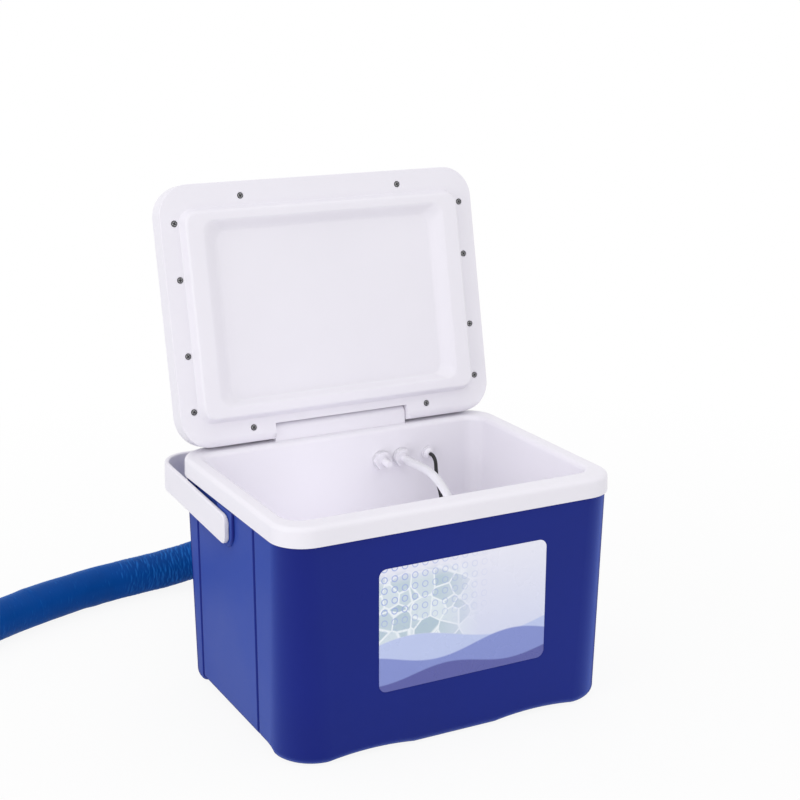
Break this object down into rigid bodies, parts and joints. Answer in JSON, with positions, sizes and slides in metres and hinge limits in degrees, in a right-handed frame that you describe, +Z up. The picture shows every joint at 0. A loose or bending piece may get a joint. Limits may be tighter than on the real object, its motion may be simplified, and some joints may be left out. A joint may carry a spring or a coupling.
{
  "type": "hot cold therapy machine",
  "caption": "Insulated ice-water box with a screwed, hinged lid, swing handle, submersible circulation pump and a sleeved water hose with a quick-release coupling",
  "frame": {"origin": "centre of the flat pad in the middle of the cabinet's underside, on the floor", "axes": "X along the front from left to right, Y to the rear where the hinge and the hose are, Z up"},
  "size_m": [0.9804, 0.7776, 0.5035],
  "materials": {
    "shell_blue": "satin",
    "white_plastic": "satin",
    "foam": "matte",
    "label": "gloss",
    "steel": "satin",
    "grey_plastic": "satin",
    "black_plastic": "satin",
    "black_rubber": "matte",
    "clear_tube": "gloss",
    "hose_cover": "satin",
    "wire": "satin",
    "magnet": "satin",
    "button_blue": "satin"
  },
  "bodies": {
    "cabinet": {"outer_shell": "shell_blue", "wall_foam": "foam", "inner_liner": "white_plastic", "front_label": "label", "hinge_pins": "steel", "hose_collar": "black_rubber", "wall_tubes": "clear_tube", "bulkhead_fittings": "white_plastic", "fitting_washers": "clear_tube", "fitting_nuts": "white_plastic", "lead_gland": "white_plastic", "lead_gland_nut": "white_plastic", "dc_inlet": "black_plastic", "dc_inlet_nut": "steel", "inlet_wires": "wire", "pump_lead": "black_rubber", "pump_housing": "black_plastic", "pump_strainer": "black_plastic", "pump_shaft": "steel", "pump_feet": "black_rubber", "supply_tube": "clear_tube", "hose_sleeve": "hose_cover", "hose_tails": "clear_tube", "coupling_body": "grey_plastic", "coupling_seals": "black_rubber"},
    "lid": {"lid_outer": "white_plastic", "lid_foam": "foam", "lid_panel": "white_plastic", "lid_screws": "steel"},
    "handle": {"carry_handle": "white_plastic"},
    "impeller": {"pump_impeller": "grey_plastic", "rotor_magnet": "magnet"},
    "release_button": {"coupling_button": "button_blue"}
  },
  "joints": [
    {"name": "lid_hinge", "type": "hinge", "parent": "cabinet", "child": "lid", "pos_m": [0, 0.1246, 0.2487], "axis": [1, 0, 0], "range_deg": [0, 101.9]},
    {"name": "handle_swing", "type": "hinge", "parent": "cabinet", "child": "handle", "pos_m": [0, 0.003, 0.1985], "axis": [1, 0, 0], "range_deg": [0, 17]},
    {"name": "impeller_spin", "type": "hinge", "parent": "cabinet", "child": "impeller", "pos_m": [0.095, -0.037, 0.048], "axis": [0, -1, 0], "continuous": true},
    {"name": "button_press", "type": "slide", "parent": "cabinet", "child": "release_button", "axis": [0, 0, -1], "range_m": [0, 0.0018], "stiffness_N_per_m": 500}
  ]
}
